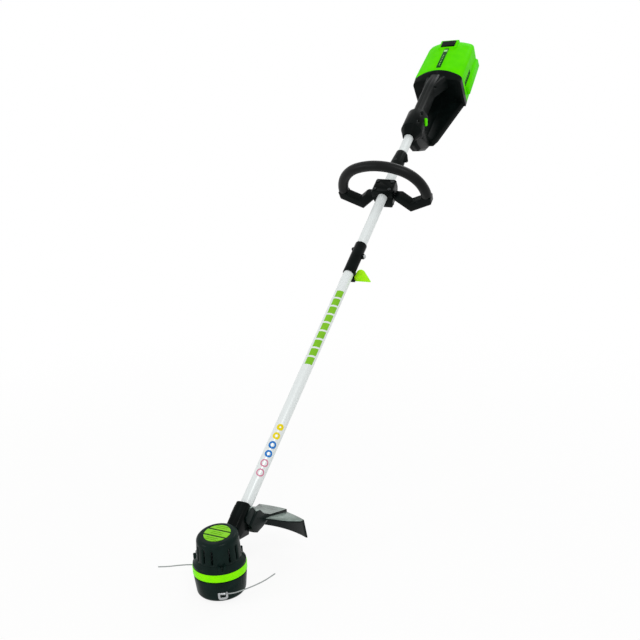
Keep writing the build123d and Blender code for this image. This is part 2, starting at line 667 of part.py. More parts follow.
def guard():
    angle = radians(GUARD_HALF_ANGLE)
    corner = (GUARD_R * sin(angle), GUARD_R * cos(angle))
    left = (-corner[0], corner[1])
    front_y = GUARD_FRONT - 12
    wing = (63, GUARD_FRONT + 10)
    front = [left, (-wing[0], wing[1]), (-BRACKET_HALF_WIDTH, front_y), (BRACKET_HALF_WIDTH, front_y), wing, corner]
    plan = make_face([ThreePointArc(corner, (0, GUARD_R), left), Polyline(*front)])
    tall = GUARD_RIDGE + 20
    body = guard_roof(extrude(Pos(0, 0, GUARD_BOTTOM) * plan, tall - GUARD_BOTTOM), 0)
    inner_r = GUARD_R - GUARD_THICKNESS
    hollow = guard_roof(disc(inner_r, GUARD_BOTTOM - 1, tall), GUARD_THICKNESS)
    body -= hollow & block(-GUARD_R, GUARD_R, front_y - 20, GUARD_R + 20, 0, tall)
    for side in (-1, 1):
        rib = block(side * 12 - 1.5, side * 12 + 1.5, front_y + 8, GUARD_R, GUARD_BOTTOM, tall)
        rib &= disc(inner_r + 0.5, GUARD_BOTTOM, tall)
        body += guard_roof(rib, GUARD_THICKNESS - 0.5) - guard_roof(rib, RIB_HEIGHT)
        end = Plane(origin=(side * corner[0], 0, GUARD_BOTTOM), z_dir=(side, 0, 0.23))
        body = split(body, bisect_by=end, keep=Keep.BOTTOM)
    bracket = [(92, 87), (106, 80), (128, 83), (142, 86), (160, 93), (160, 95.5), (136, 109), (121, 124),
               (111, 125), (84, 106)]
    arm = extrude(Plane.YZ.offset(-BRACKET_HALF_WIDTH) * outline(bracket), 2 * BRACKET_HALF_WIDTH)
    body += chamfer(arm.edges().filter_by(Plane.YZ).sort_by(SortBy.LENGTH)[-2:], 2)
    cheek = block(94, NECK_END - 1, -NECK_HALF_HEIGHT - 4, 8, -CHEEK_HALF_WIDTH, CHEEK_HALF_WIDTH)
    cheek = chamfer(cheek.edges().filter_by(Axis.Z).group_by(Axis.Y)[-1], 5)
    body += to_world(cheek)
    neck = block(0, NECK_END + 40, -NECK_HALF_HEIGHT, NECK_HALF_HEIGHT, -NECK_HALF_WIDTH, NECK_HALF_WIDTH)
    return body - to_world(neck + neck_form())


def build_guard():
    body = guard()
    screws = []
    for x in (108, 118):
        for z in (-8, 8):
            place = Pos(x, -NECK_HALF_HEIGHT - 6, z) * Rot(90, 0, 0)
            screws.append(to_world(place * screw(10)))
            body -= to_world(up_rod(-70, -NECK_HALF_HEIGHT - 6 + SCREW_HEAD_HEIGHT, SCREW_HEAD_R, x, z))
            body -= to_world(up_rod(-40, -NECK_HALF_HEIGHT + 1, SCREW_R, x, z))
    for name in ("neck_right", "neck_left"):
        pieces[name] -= Compound(screws)
    keep("guard", body)
    keep("guard_screws", Compound(screws))
    blade_angle = GUARD_HALF_ANGLE - 5
    seat_r = GUARD_R - GUARD_THICKNESS
    turn = Rot(0, 0, 90 + blade_angle)
    blade = block(seat_r - 4, seat_r - 2, -11, 11, GUARD_BOTTOM - 20, GUARD_BOTTOM - 20 + BLADE_HEIGHT)
    blade_top = GUARD_BOTTOM - 20 + BLADE_HEIGHT
    pads = [block(seat_r - 2, seat_r + 0.5, y - 4, y + 4, GUARD_BOTTOM, blade_top) for y in (-6, 6)]
    screws = [Pos(seat_r - 4 - 1.6, y, GUARD_BOTTOM + 7) * Rot(0, -90, 0) * screw(6, 1.5, 2.8, 1.6)
              for y in (-6, 6)]
    for pad in pads:
        pieces["guard"] += turn * pad
    for one in screws:
        pieces["guard"] -= turn * one
        blade -= one
    keep("line_cutter", turn * blade)
    keep("cutter_screws", turn * Compound(screws))


# ---------------------------------------------------------------- shaft and coupler
def build_shaft():
    pin_hole = cross_rod(0, COUPLER_R + 3, PIN_R + PLAY, *PIN_PLACE)
    lower = pipe(LOWER_TUBE_START, LOWER_TUBE_END, TUBE_R, TUBE_BORE_R) - pin_hole
    keep("lower_tube", to_world(lower))
    upper = pipe(UPPER_TUBE_START, UPPER_TUBE_END, TUBE_R, TUBE_BORE_R)
    upper -= cross_rod(-COUPLER_R, 0, SCREW_R, SLEEVE_SCREW_X, 0)
    keep("upper_tube", to_world(upper))
    plug_half = 6
    grommets = []
    inset = GROMMET_INSET
    for x in (LOWER_TUBE_START + inset, LOWER_TUBE_START + LOWER_TUBE_LENGTH / 2, LOWER_TUBE_END - inset,
              UPPER_TUBE_START + inset, UPPER_TUBE_START + UPPER_TUBE_LENGTH / 2, UPPER_TUBE_END - 8):
        grommets.append(to_world(pipe(x - 3, x + 3, TUBE_BORE_R, CABLE_R)))
    keep("cable_grommets", Compound(grommets))
    cable_start = LOWER_TUBE_START - 12
    keep("lower_cable", to_world(rod(cable_start, LOWER_TUBE_END - plug_half, CABLE_R)))
    cable_end = HANDLE_START + BAY_FRONT + WALL
    keep("upper_cable", to_world(rod(UPPER_TUBE_START + plug_half, cable_end, CABLE_R)))
    plug = rod(LOWER_TUBE_END - plug_half, UPPER_TUBE_START + plug_half, TUBE_BORE_R - 1)
    keep("cable_plug", to_world(plug))


def coupler_sleeve():
    body = rod(COUPLER_START, COUPLER_END, COUPLER_R)
    body = chamfer(body.edges().filter_by(GeomType.CIRCLE), 0.8)
    lug = block(LUG_START, LUG_START + LUG_LENGTH, -LUG_DROP, -TUBE_R + 2, -LUG_HALF_WIDTH, LUG_HALF_WIDTH)
    body += fillet(lug.edges().filter_by(Axis.Z), 3)
    body += cross_rod(0, COUPLER_R + 2.5, PIN_R + 2, *PIN_PLACE)
    body += cross_rod(-COUPLER_R - SLEEVE_BOSS, 0, 5, SLEEVE_SCREW_X, 0)
    body -= rod(COUPLER_START - 20, COUPLER_END + 1, TUBE_R)
    body -= block(COUPLER_START - 10, COUPLER_START + 22, -LUG_DROP - 1, -TUBE_R + 3, -1, 1)
    body -= cross_rod(0, COUPLER_R + 3, PIN_R + PLAY, *PIN_PLACE)
    body -= cross_rod(-LUG_HALF_WIDTH - 1, LUG_HALF_WIDTH + 1, CLAMP_BOLT_R, CLAMP_BOLT_X, CLAMP_BOLT_Y)
    return body - cross_rod(-COUPLER_R - 3, 0, SCREW_R, SLEEVE_SCREW_X, 0)


def coupler_knob():
    """The green wing knob: a round hub on the clamp bolt with a leaf-shaped wing."""
    near = LUG_HALF_WIDTH + PLAY
    hub_end = near + 15
    lobe = Pos(near + 14, 8) * Circle(12)
    tip = Pos(near + 39, -8) * Circle(1.6)
    heel = Pos(near + 3, -6) * Circle(3)
    wing = extrude(Pos(0, 0, -WING_THICKNESS / 2) * make_hull(lobe.edges() + tip.edges() + heel.edges()), WING_THICKNESS)
    wing = fillet(wing.edges().group_by(Axis.Z)[0] + wing.edges().group_by(Axis.Z)[-1], 1.2)
    hub = Rot(0, 90, 0) * disc(6.5, near, hub_end)
    body = wing + hub - Rot(0, 90, 0) * disc(CLAMP_BOLT_R + RUNNING_FIT, near - 1, hub_end - 3)
    stand = Plane(origin=(CLAMP_BOLT_X, CLAMP_BOLT_Y, 0), x_dir=(0, 0, 1), z_dir=(-1, 1, 0))
    return stand.location * body


def build_coupler():
    keep("coupler_sleeve", to_world(coupler_sleeve()))
    place = Pos(CLAMP_BOLT_X, CLAMP_BOLT_Y, 0)
    bolt_end = LUG_HALF_WIDTH + PLAY + 11.5
    head = extrude(Pos(0, 0, -LUG_HALF_WIDTH - 4) * RegularPolygon(5.5, 6), 4)
    keep("clamp_bolt", to_world(place * (head + disc(CLAMP_BOLT_R, -LUG_HALF_WIDTH, bolt_end))))
    keep("coupler_knob", to_world(coupler_knob()))
    pin = cross_rod(TUBE_BORE_R - 3, COUPLER_R + 6.5, PIN_R, *PIN_PLACE)
    keep("lock_pin", to_world(fillet(pin.edges().sort_by(Axis.Z)[-1], 1.5)))
    boss_end = COUPLER_R + SLEEVE_BOSS
    screw_length = boss_end - TUBE_BORE_R - 0.2
    one = Pos(SLEEVE_SCREW_X, 0, -boss_end - SCREW_HEAD_HEIGHT) * Rot(180, 0, 0) * screw(screw_length, SCREW_R, 4.0)
    keep("sleeve_screw", to_world(one))


# ---------------------------------------------------------------- loop handle and strap hanger
def in_loop_plane(shape):
    """Lays a flat drawing of (right, up) points in the loop's plane, facing along the shaft."""
    plane = Plane(origin=(LOOP_PLANE, 0, 0), x_dir=(0, 0, 1), z_dir=(-1, 0, 0))
    return plane.location * shape


def loop_point(angle):
    """The point of the loop's right side arc at an angle above that arc's level."""
    away = LOOP_TOP_R - LOOP_SIDE_R
    turn = radians(LOOP_SIDE_TURN)
    middle = (away * sin(turn), LOOP_TOP - LOOP_TOP_R + away * cos(turn))
    return (middle[0] + LOOP_SIDE_R * cos(radians(angle)), middle[1] + LOOP_SIDE_R * sin(radians(angle)))


def loop_arc(start_angle):
    """The loop's round part: down each side to the given angle, and over the top."""
    joint_angle = 90 - LOOP_SIDE_TURN
    right = [loop_point(angle) for angle in (joint_angle, (joint_angle + start_angle) / 2, start_angle)]
    left = [(-x, y) for x, y in reversed(right)]
    over = ThreePointArc(left[2], (0, LOOP_TOP), right[0])
    return Wire([ThreePointArc(*left), over, ThreePointArc(*right)])


def loop_frame():
    """The loop: two square-cut legs that bend out from the clamp, and a round arc over the top."""
    corner = -LOOP_CORNER_DROP
    route = [LOOP_ROOT, LOOP_KNEE, loop_point(corner), loop_point(corner + 8)]
    arc = loop_arc(corner + 5)
    body = sweep(Plane(origin=arc @ 0, z_dir=arc % 0) * Circle(LOOP_CORE_R), path=arc)
    depth = LOOP_CORE_R + 1.5
    for side in (-1, 1):
        path = Polyline(*[(side * x, y) for x, y in route])
        band = offset(path, LOOP_LEG_WIDTH / 2, kind=Kind.INTERSECTION, side=Side.BOTH)
        face = make_face(band.edges())
        corner_vertex = max(face.vertices(), key=lambda vertex: side * vertex.X - vertex.Y)
        face = fillet(corner_vertex, 5)
        leg = extrude(Pos(0, 0, -depth) * face, 2 * depth)
        leg = chamfer(leg.edges().group_by(Axis.Z)[0] + leg.edges().group_by(Axis.Z)[-1], 3)
        end = radians(corner + 8)
        square = Plane(origin=(side * route[3][0], route[3][1], 0), z_dir=(-side * sin(end), cos(end), 0))
        body += split(leg, bisect_by=square, keep=Keep.BOTTOM)
    return in_loop_plane(body)


def loop_clamp_bore():
    return rod(LOOP_CLAMP_START - 1, LOOP_CLAMP_END + 1, TUBE_R + RUNNING_FIT)


def loop_bolt_places():
    return [(x, z) for x in (LOOP_CLAMP_START + 8, LOOP_CLAMP_END - 8) for z in (-20, 20)]


def build_loop_handle():
    half = LOOP_CLAMP_HALF_WIDTH
    start, end = LOOP_CLAMP_START, LOOP_CLAMP_END
    saddle = block(start, end, PLAY / 2, LOOP_SADDLE_HEIGHT, -half, half)
    saddle = chamfer(saddle.edges().filter_by(Axis.X).group_by(Axis.Y)[-1], 4)
    frame = loop_frame() + saddle
    frame -= loop_clamp_bore()
    frame -= block(start - 1, end + 1, -LOOP_BLOCK_DROP - 30, PLAY / 2, -half - 1, half + 1)
    lower = cross_section(start, [(-half, -PLAY / 2), (half, -PLAY / 2), (half - 6, -LOOP_BLOCK_DROP),
                                  (-half + 6, -LOOP_BLOCK_DROP)])
    clamp = extrude(lower, LOOP_CLAMP_LENGTH, dir=(1, 0, 0))
    clamp = fillet(clamp.edges().filter_by(Axis.X).group_by(Axis.Y)[0], 5) - loop_clamp_bore()
    bolts = []
    for x, z in loop_bolt_places():
        shank_low = -LOOP_BLOCK_DROP + 8
        nut_base = LOOP_SADDLE_HEIGHT - 2.5
        shank = up_rod(shank_low, nut_base + 3, LOOP_BOLT_R, x, z)
        frame -= up_rod(-1, nut_base + 10, LOOP_BOLT_R, x, z) + up_rod(nut_base, nut_base + 20, 5.5, x, z)
        clamp -= up_rod(-LOOP_BLOCK_DROP - 1, 0, LOOP_BOLT_R, x, z)
        clamp -= up_rod(-LOOP_BLOCK_DROP - 1, shank_low, 4.5, x, z)
        nut = Pos(x, nut_base, z) * Rot(-90, 0, 0) * extrude(RegularPolygon(5.2, 6), 4)
        head = up_rod(shank_low - 4, shank_low, 4.2, x, z)
        bolts.append(shank + nut + head)
    keep("loop_frame", loop_to_world(frame))
    keep("loop_clamp", loop_to_world(clamp))
    keep("loop_bolts", loop_to_world(Compound(bolts)))
    arc = loop_arc(8.3 - LOOP_CORNER_DROP)
    section = Plane(origin=arc @ 0, z_dir=arc % 0) * (Circle(LOOP_GRIP_R) - Circle(LOOP_CORE_R))
    keep("loop_grip", loop_to_world(in_loop_plane(sweep(section, path=arc))))


def build_strap_hanger():
    end = HANGER_START + HANGER_LENGTH
    face = outline([(HANGER_START, TUBE_R), (HANGER_START, HANGER_R), (HANGER_START + 14, HANGER_R),
                    (end, HANGER_NECK_R), (end, TUBE_R)], {1: 2, 4: 1})
    body = revolve(face, Axis.X)
    lug_x = HANGER_START + 28
    rim = EYE_R + EYE_RIM
    lug = side_plate([(lug_x - 14, -TUBE_R - 1), (lug_x - rim, -EYE_DROP), (lug_x - rim, -EYE_DROP - rim),
                      (lug_x + rim, -EYE_DROP - rim), (lug_x + rim, -TUBE_R - 1)], EYE_THICKNESS / 2,
                     {2: rim - 0.5, 3: rim - 0.5})
    body += lug
    body -= cross_rod(-EYE_THICKNESS, EYE_THICKNESS, EYE_R, lug_x, -EYE_DROP)
    ear = [(end - 32, 10), (end - 32, 25), (end - 27, 27), (end - 2, 17.5), (end - 2, 10)]
    flat = Plane(origin=(0, -2.5, 0), x_dir=(1, 0, 0), z_dir=(0, 1, 0))
    body += extrude(flat * outline([(x, -z) for x, z in ear]), 5)
    screw_x = HANGER_START + 20
    seat_y = HANGER_R - 0.5 - SCREW_HEAD_HEIGHT
    one = Pos(screw_x, HANGER_R - 0.5, 0) * Rot(-90, 0, 0) * screw(seat_y - TUBE_R, 2, 3.5)
    body -= up_rod(seat_y, HANGER_R + 1, 3.5, screw_x, 0) + up_rod(0, seat_y, 2, screw_x, 0)
    keep("strap_hanger", to_world(body - rod(HANGER_START - 1, end + 1, TUBE_R)))
    keep("hanger_screw", to_world(one))


# ---------------------------------------------------------------- rear handle and battery housing
# Everything here is drawn in the handle's own frame, which starts a little ahead of the hub.
def housing_section(x, form, wall):
    """The battery housing's outline across the shaft at x, moved in by a wall."""
    top, shoulder, shoulder_y, foot, foot_y = form
    right = (shoulder - wall, shoulder_y - wall)
    left = (-right[0], right[1])
    foot_right = (foot - wall, foot_y + wall)
    foot_left = (-foot_right[0], foot_right[1])
    face = make_face([ThreePointArc(left, (0, top - wall), right), Polyline(right, foot_right, foot_left, left)])
    shoulders = face.vertices().sort_by(Axis.Y)[-2:]
    face = fillet(shoulders, BAY_CORNER - wall)
    return Plane(origin=(x, 0, 0), x_dir=(0, 0, 1), z_dir=(-1, 0, 0)) * face


def bay(wall, front, rear):
    """The battery housing's outside, or its inside when wall is more than nothing."""
    places = ((front, BAY_FRONT_FORM), (BAY_SHOULDER, BAY_SHOULDER_FORM), (BAY_BACK, BAY_BACK_FORM),
              (rear, BAY_REAR_FORM))
    sections = [housing_section(x, form, wall) for x, form in places]
    body = loft(sections[:2], ruled=True)
    for pair in (sections[1:3], sections[2:]):
        body += loft(pair, ruled=True)
    return body


def seam_cylinder():
    """Everything in front of the curved seam between the black and the green shells."""
    return up_rod(-200, 200, SEAM_R, BAY_SHOULDER - SEAM_R, 0)


def hub():
    """The mouth of the handle: a faceted taper, then a round drum that ends square."""
    taper_end = HUB_START + HUB_TAPER
    front = Plane.YZ.offset(HUB_START) * RegularPolygon(HUB_MOUTH_R, HUB_FACETS)
    back = Plane.YZ.offset(taper_end) * RegularPolygon(HUB_R - 0.4, HUB_FACETS)
    return loft([front, back], ruled=True) + rod(taper_end, HUB_END, HUB_R)


def front_bar():
    """The bar that runs down from the hub and back to the foot of the battery housing."""
    top = PLATE_BOTTOM + PLATE_THICKNESS
    points = [(14, -8), (12, -28), (25, -60), (66, -92), (92, PLATE_BOTTOM), (124, PLATE_BOTTOM), (124, top),
              (110, top), (90, -46), (122, -GRIP_DEPTH + 1), (122, -8)]
    body = side_plate(points, GRIP_HALF_WIDTH - 0.5, {2: 10, 3: 20, 4: 12, 7: 8, 8: 10})
    front = [edge for edge in body.edges() if edge.center().X < edge_line(edge.center().Y)]
    return chamfer([edge for edge in front if abs(abs(edge.center().Z) - GRIP_HALF_WIDTH + 0.5) < 0.01], 7)


def edge_line(y):
    """A line down the middle of the front bar, to tell its front edges from its back ones."""
    return 40 - (y + 46) * 0.45


def grip():
    rear = BAY_FRONT + 8
    top = GRIP_TOP
    drop = (rear - BOSS_PLACE[0]) * 0.12
    points = [(GRIP_START, -GRIP_DEPTH), (rear, -GRIP_DEPTH), (rear, top - drop), (BOSS_PLACE[0], top),
              (GRIP_START, top)]
    body = side_plate(points, GRIP_HALF_WIDTH)
    edges = [edge for edge in body.edges() if abs(edge.center().Z) > 1 and GRIP_START < edge.center().X < rear]
    return fillet(edges, GRIP_ROUND)


def handle_outside():
    body = hub() + front_bar() + grip()
    neck_x = BAY_FRONT - 73
    narrow = cross_section(neck_x, mirrored([(10, GRIP_TOP - 0.5), (16, 9), (16, -12), (12, -20.5)]))
    wide = cross_section(BAY_FRONT + 8, mirrored([(26, 2), (36, -8), (36, -34), (26, -42)]))
    body += loft([narrow, wide], ruled=True)
    plan = [(98, -22), (116, -31), (BAY_FRONT + 2, -67), (BAY_SHOULDER, -67), (BAY_SHOULDER, 67),
            (BAY_FRONT + 2, 67), (116, 31), (98, 22)]
    flat = Plane(origin=(0, PLATE_BOTTOM + PLATE_THICKNESS, 0), x_dir=(1, 0, 0), z_dir=(0, 1, 0))
    plate = extrude(flat * outline([(x, -z) for x, z in plan]), -PLATE_THICKNESS)
    body += chamfer(plate.edges().group_by(Axis.Y)[-1], 4)
    return (body + bay(0, BAY_FRONT, BAY_REAR)) & seam_cylinder()


def trigger_slot():
    x = TRIGGER_PLACE[0]
    half = TRIGGER_HALF_WIDTH + PLAY
    return block(x - 12, x + 57, -GRIP_DEPTH - 12, 0, -half, half)


def handle_inside():
    body = rod(HUB_START - 1, HANDLE_LAP, TUBE_R) + rod(HANDLE_LAP - 0.5, HANDLE_LAP + 20, TUBE_R - 1.2)
    half = GRIP_HALF_WIDTH - 4
    body += block(HANDLE_LAP + 14, BAY_FRONT - 50, -GRIP_DEPTH + 4, GRIP_TOP - 4, -half, half)
    body += block(BAY_FRONT - 50, BAY_FRONT + WALL + 1, -GRIP_DEPTH + 4, GRIP_TOP - 12, -half, half)
    body += trigger_slot()
    interior = bay(WALL, BAY_FRONT + WALL, BAY_REAR)
    return body + (interior & block(BAY_FRONT - 53, BAY_REAR, -200, 200, -200, 200))


def lock_outline(margin):
    slot = SlotOverall(LOCK_LENGTH + 2 * margin, LOCK_WIDTH + 2 * margin, rotation=LOCK_LEAN)
    return Pos(LOCK_PLACE[0], LOCK_PLACE[1]) * slot


def build_rear_handle():
    body = handle_outside() - handle_inside()
    half = GRIP_HALF_WIDTH
    body += cross_rod(-half, half, BOSS_SCREW_R, *BOSS_PLACE)
    bar_side = half - 0.5
    places = [(54, 22, 19.5), (54, -24, 17.5), (58, -40, bar_side), (96, -90, bar_side), (84, 22, 19.5),
              (*BOSS_PLACE, half)]
    screws = []
    for x, y, side in places:
        head = side - 0.6
        screws.append(Pos(x, y, head) * screw(side + 6, HANDLE_SCREW_R, 3.2))
        body -= cross_rod(head - SCREW_HEAD_HEIGHT, HUB_R + 1, 3.2, x, y)
        body -= cross_rod(-9, side, HANDLE_SCREW_R, x, y)
    body -= extrude(Pos(0, 0, LOCK_FOOT - 1) * lock_outline(PLAY), HUB_R + 2 - LOCK_FOOT)
    x, y = LOCK_PLACE
    body -= block(x, x + 34, y - 7, y + 1, TRIGGER_HALF_WIDTH, LOCK_FOOT + 1)
    right = split(body, bisect_by=Plane.XY, keep=Keep.TOP)
    left = split(body, bisect_by=Plane.XY, keep=Keep.BOTTOM)
    keep("handle_right", handle_to_world(right))
    keep("handle_left", handle_to_world(left))
    keep("handle_screws", handle_to_world(Compound(screws)))


def build_controls():
    x, y = TRIGGER_PLACE
    lever = [(x - 5, y - 4), (x, y + 4), (x + 46, y + 1), (x + 52, y - 11), (x + 44, y - 23),
             (x + 32, y - 31), (x + 22, y - 29), (x + 11, y - 18), (x - 2, y - 8)]
    trigger = side_plate(lever, TRIGGER_HALF_WIDTH, {2: 3, 4: 5, 5: 4, 7: 8})
    trigger -= cross_rod(-20, 20, TRIGGER_PIN_R + RUNNING_FIT, x, y)
    keep("trigger", handle_to_world(trigger))
    inner = GRIP_HALF_WIDTH - 4
    keep("trigger_pin", handle_to_world(cross_rod(-inner, inner, TRIGGER_PIN_R, x, y)))
    coil = cross_rod(-11.6, -8, 4, x, y) - cross_rod(-12, -7, TRIGGER_PIN_R, x, y)
    keep("trigger_spring", handle_to_world(coil + block(x, x + 14, y + 2.6, y + 4, -11, -9.5)))
    switch = block(x + 58, x + 84, -GRIP_DEPTH + 4, y + 8, -6, 6)
    tip = block(x + 55.5, x + 58, y, y + 4, -3, 3)
    keep("micro_switch", handle_to_world(switch + tip))
    x, y = LOCK_PLACE
    button = extrude(Pos(0, 0, LOCK_FOOT) * lock_outline(0), HUB_R + LOCK_PROUD - LOCK_FOOT)
    button = fillet(button.edges().group_by(Axis.Z)[-1], 1.5)
    finger = block(x, x + 33, y - 6, y, TRIGGER_HALF_WIDTH + 1.5, LOCK_FOOT + 0.5)
    keep("lock_button", handle_to_world(button + finger))
    board = block(BAY_FRONT + 9, BAY_FRONT + 11, -80, -20, -45, 45)
    for x0, z0, size in ((-70, -30, 14), (-48, -6, 10), (-66, 16, 18), (-40, 24, 12)):
        board += block(BAY_FRONT + 11, BAY_FRONT + 17, x0, x0 + size, z0, z0 + size)
    keep("controller_board", handle_to_world(board))


def roof_height(x):
    """The battery housing's roof at its middle, behind the shoulder."""
    share = (x - BAY_SHOULDER) / (BAY_BACK - BAY_SHOULDER)
    return BAY_SHOULDER_FORM[0] + share * (BAY_BACK_FORM[0] - BAY_SHOULDER_FORM[0])


def label():
    """The raised plate along the middle of the roof."""
    start = BAY_SHOULDER + LABEL_SETBACK
    end = start + LABEL_LENGTH
    points = [(start, roof_height(start) - 1.6), (end, roof_height(end) - 1.6), (end, roof_height(end) + 1.2),
              (start, roof_height(start) + 1.2)]
    return side_plate(points, LABEL_HALF)


def latch_body(margin):
    start = BAY_REAR - LATCH_SETBACK
    return block(start - margin, start + LATCH_LENGTH + margin, -10 * margin, LATCH_TOP + 20 * margin,
                 -LATCH_HALF_WIDTH - margin, LATCH_HALF_WIDTH + margin)


def rail(side):
    """The thicker lower side of the green housing."""
    sections = []
    for x in (RAIL_START, BAY_REAR - 3):
        face = RAIL_SIDE - (x - RAIL_START) * RAIL_TAPER
        points = [(face - 7, -59), (face, -64), (face, -87), (face - 8, -91)]
        sections.append(cross_section(x, [(side * right, up) for right, up in points]))
    return loft(sections, ruled=True) - bay(WALL / 2, BAY_FRONT, BAY_REAR + 1)


def build_battery_housing():
    bulkhead = block(BATTERY_START - 17, BATTERY_START - 13, -200, 200, -200, 200)
    shell = bay(0, BAY_FRONT, BAY_REAR) - bay(WALL, BAY_FRONT - 0.5, BAY_REAR + 0.01)
    shell += bay(WALL / 2, BAY_FRONT, BAY_REAR) & bulkhead
    shell -= seam_cylinder()
    latch_start = BAY_REAR - LATCH_SETBACK
    frame = block(latch_start - 5, BAY_REAR - 2, 0, LATCH_FRAME_TOP, -LATCH_HALF_WIDTH - 7, LATCH_HALF_WIDTH + 7)
    frame = chamfer(frame.edges().group_by(Axis.Y)[-1], 2)
    shell += frame - bay(WALL / 2, BAY_FRONT, BAY_REAR)
    vents = []
    vent_start = BAY_SHOULDER + VENT_SETBACK
    middle = bay(VENT_DEPTH, BAY_FRONT, BAY_REAR)
    plates = bay(0.4, BAY_FRONT, BAY_REAR) - middle
    for side in (-1, 1):
        shell += rail(side)
        low, high = sorted((side * 50, side * (RAIL_SIDE + 5)))
        window = block(vent_start, vent_start + VENT_LENGTH, -57, -42, low, high)
        shell -= window - middle
        plate = window & plates
        pitch = VENT_LENGTH / VENT_SLOTS
        for place in range(VENT_SLOTS):
            start = vent_start + (place + 0.25) * pitch
            plate -= block(start, start + pitch / 2, -55, -44, low, high)
        vents.append(plate)
    label_plate = label()
    shell -= latch_body(PLAY) + label_plate
    keep("battery_housing", handle_to_world(shell))
    keep("label_plate", handle_to_world(label_plate))
    keep("side_vents", handle_to_world(Compound(vents)))
    section = housing_section(BATTERY_START, BAY_REAR_FORM, WALL + BATTERY_CLEARANCE)
    battery_end = BAY_REAR + BATTERY_OVERHANG
    battery = extrude(section, battery_end - BATTERY_START, dir=(1, 0, 0))
    channel = LATCH_HALF_WIDTH + 4
    battery -= block(BATTERY_START - 1, battery_end + 1, -6, 40, -channel, channel)
    battery -= block(BAY_REAR - 12, battery_end + 1, -70, -30, -30, 30)
    keep("battery_pack", handle_to_world(battery))
    block_front = BATTERY_START - 13
    terminals = block(block_front, block_front + 9, -70, -24, -38, 38)
    for z in (-28, -10, 8, 26):
        terminals -= block(block_front + 5, block_front + 10, -62, -32, z, z + 3)
    keep("terminal_block", handle_to_world(terminals))
    latch = block(latch_start, latch_start + LATCH_LENGTH, 0, LATCH_TOP, -LATCH_HALF_WIDTH, LATCH_HALF_WIDTH)
    keep("battery_latch", handle_to_world(fillet(latch.edges().group_by(Axis.Y)[-1], 2)))


def export_all():
    os.makedirs("parts", exist_ok=True)
    for name, shape in pieces.items():
        export_step(shape, f"parts/{name}.step")


build_motor_head()
build_cutting_head()
build_neck(head_envelope())
build_guard()
build_shaft()
build_coupler()
build_loop_handle()
build_strap_hanger()
build_rear_handle()
build_controls()
build_battery_housing()
export_all()
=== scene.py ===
"""A cordless string trimmer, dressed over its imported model: softened mouldings, print on tube and label,
cutting lines, materials, floor, lights and camera. Lengths are metres, except where a name or a comment
says millimetres."""
import json
from math import atan2, cos, radians, sin

import bmesh
import bpy
from mathutils import Matrix, Vector

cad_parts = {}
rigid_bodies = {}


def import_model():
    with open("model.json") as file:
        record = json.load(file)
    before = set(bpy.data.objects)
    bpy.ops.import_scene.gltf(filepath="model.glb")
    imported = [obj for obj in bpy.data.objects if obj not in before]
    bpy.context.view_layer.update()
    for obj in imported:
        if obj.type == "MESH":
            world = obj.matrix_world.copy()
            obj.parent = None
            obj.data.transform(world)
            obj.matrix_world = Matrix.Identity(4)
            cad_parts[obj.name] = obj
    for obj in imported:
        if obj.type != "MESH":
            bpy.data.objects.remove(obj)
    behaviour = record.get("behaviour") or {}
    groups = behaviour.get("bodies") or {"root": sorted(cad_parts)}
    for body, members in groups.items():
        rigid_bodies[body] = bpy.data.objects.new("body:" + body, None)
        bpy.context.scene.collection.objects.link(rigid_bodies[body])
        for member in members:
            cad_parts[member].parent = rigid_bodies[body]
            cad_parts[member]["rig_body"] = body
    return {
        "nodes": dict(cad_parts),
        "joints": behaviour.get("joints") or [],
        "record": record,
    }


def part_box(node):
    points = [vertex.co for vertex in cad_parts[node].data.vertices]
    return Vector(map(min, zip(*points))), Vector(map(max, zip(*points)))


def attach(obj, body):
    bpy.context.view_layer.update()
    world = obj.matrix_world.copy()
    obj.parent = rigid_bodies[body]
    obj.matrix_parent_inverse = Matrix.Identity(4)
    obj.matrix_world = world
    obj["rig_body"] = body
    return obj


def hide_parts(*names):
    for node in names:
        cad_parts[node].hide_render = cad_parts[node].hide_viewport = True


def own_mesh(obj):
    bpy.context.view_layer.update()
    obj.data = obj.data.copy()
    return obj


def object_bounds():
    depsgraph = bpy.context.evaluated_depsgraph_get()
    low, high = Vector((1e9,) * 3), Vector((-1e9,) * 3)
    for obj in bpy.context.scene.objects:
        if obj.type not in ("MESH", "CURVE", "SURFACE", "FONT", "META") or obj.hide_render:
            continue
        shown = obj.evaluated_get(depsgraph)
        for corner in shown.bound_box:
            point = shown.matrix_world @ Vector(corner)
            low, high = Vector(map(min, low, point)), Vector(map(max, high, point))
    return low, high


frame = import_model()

MM = 0.001
scene = bpy.context.scene
cad_box = [list(corner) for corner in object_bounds()]

# The shaft's direction is the way that the loop handle slides, and its axis runs through the tube's middle.
along = Vector(next(joint["axis"] for joint in frame["joints"] if joint["name"] == "loop_slide"))
square = Vector((0, -along.z, along.y))
tube_low, tube_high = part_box("lower_tube")
tube_middle = (tube_low + tube_high) / 2
axis_start = Vector((0, 0, tube_middle.z - tube_middle.y * along.z / along.y))
TUBE_R = (tube_high.x - tube_low.x) / 2


def at(s, n, x):
    """A place given in millimetres: s along the shaft, n square to it and up, x to the right."""
    return axis_start + along * (s * MM) + square * (n * MM) + Vector((x * MM, 0, 0))


END_DEPTH = 1.0             # millimetres of a node's length that count as its end


def top_ends(node):
    """The upper edge of a CAD node at its two ends along the shaft, each as (s, n) in millimetres."""
    aways = [vertex.co - axis_start for vertex in frame["nodes"][node].data.vertices]
    places = [(away.dot(along) / MM, away.dot(square) / MM) for away in aways]
    ends = []
    for end in (min(places)[0], max(places)[0]):
        near = [place for place in places if abs(place[0] - end) < END_DEPTH]
        ends.append(max(near, key=lambda place: place[1]))
    return ends


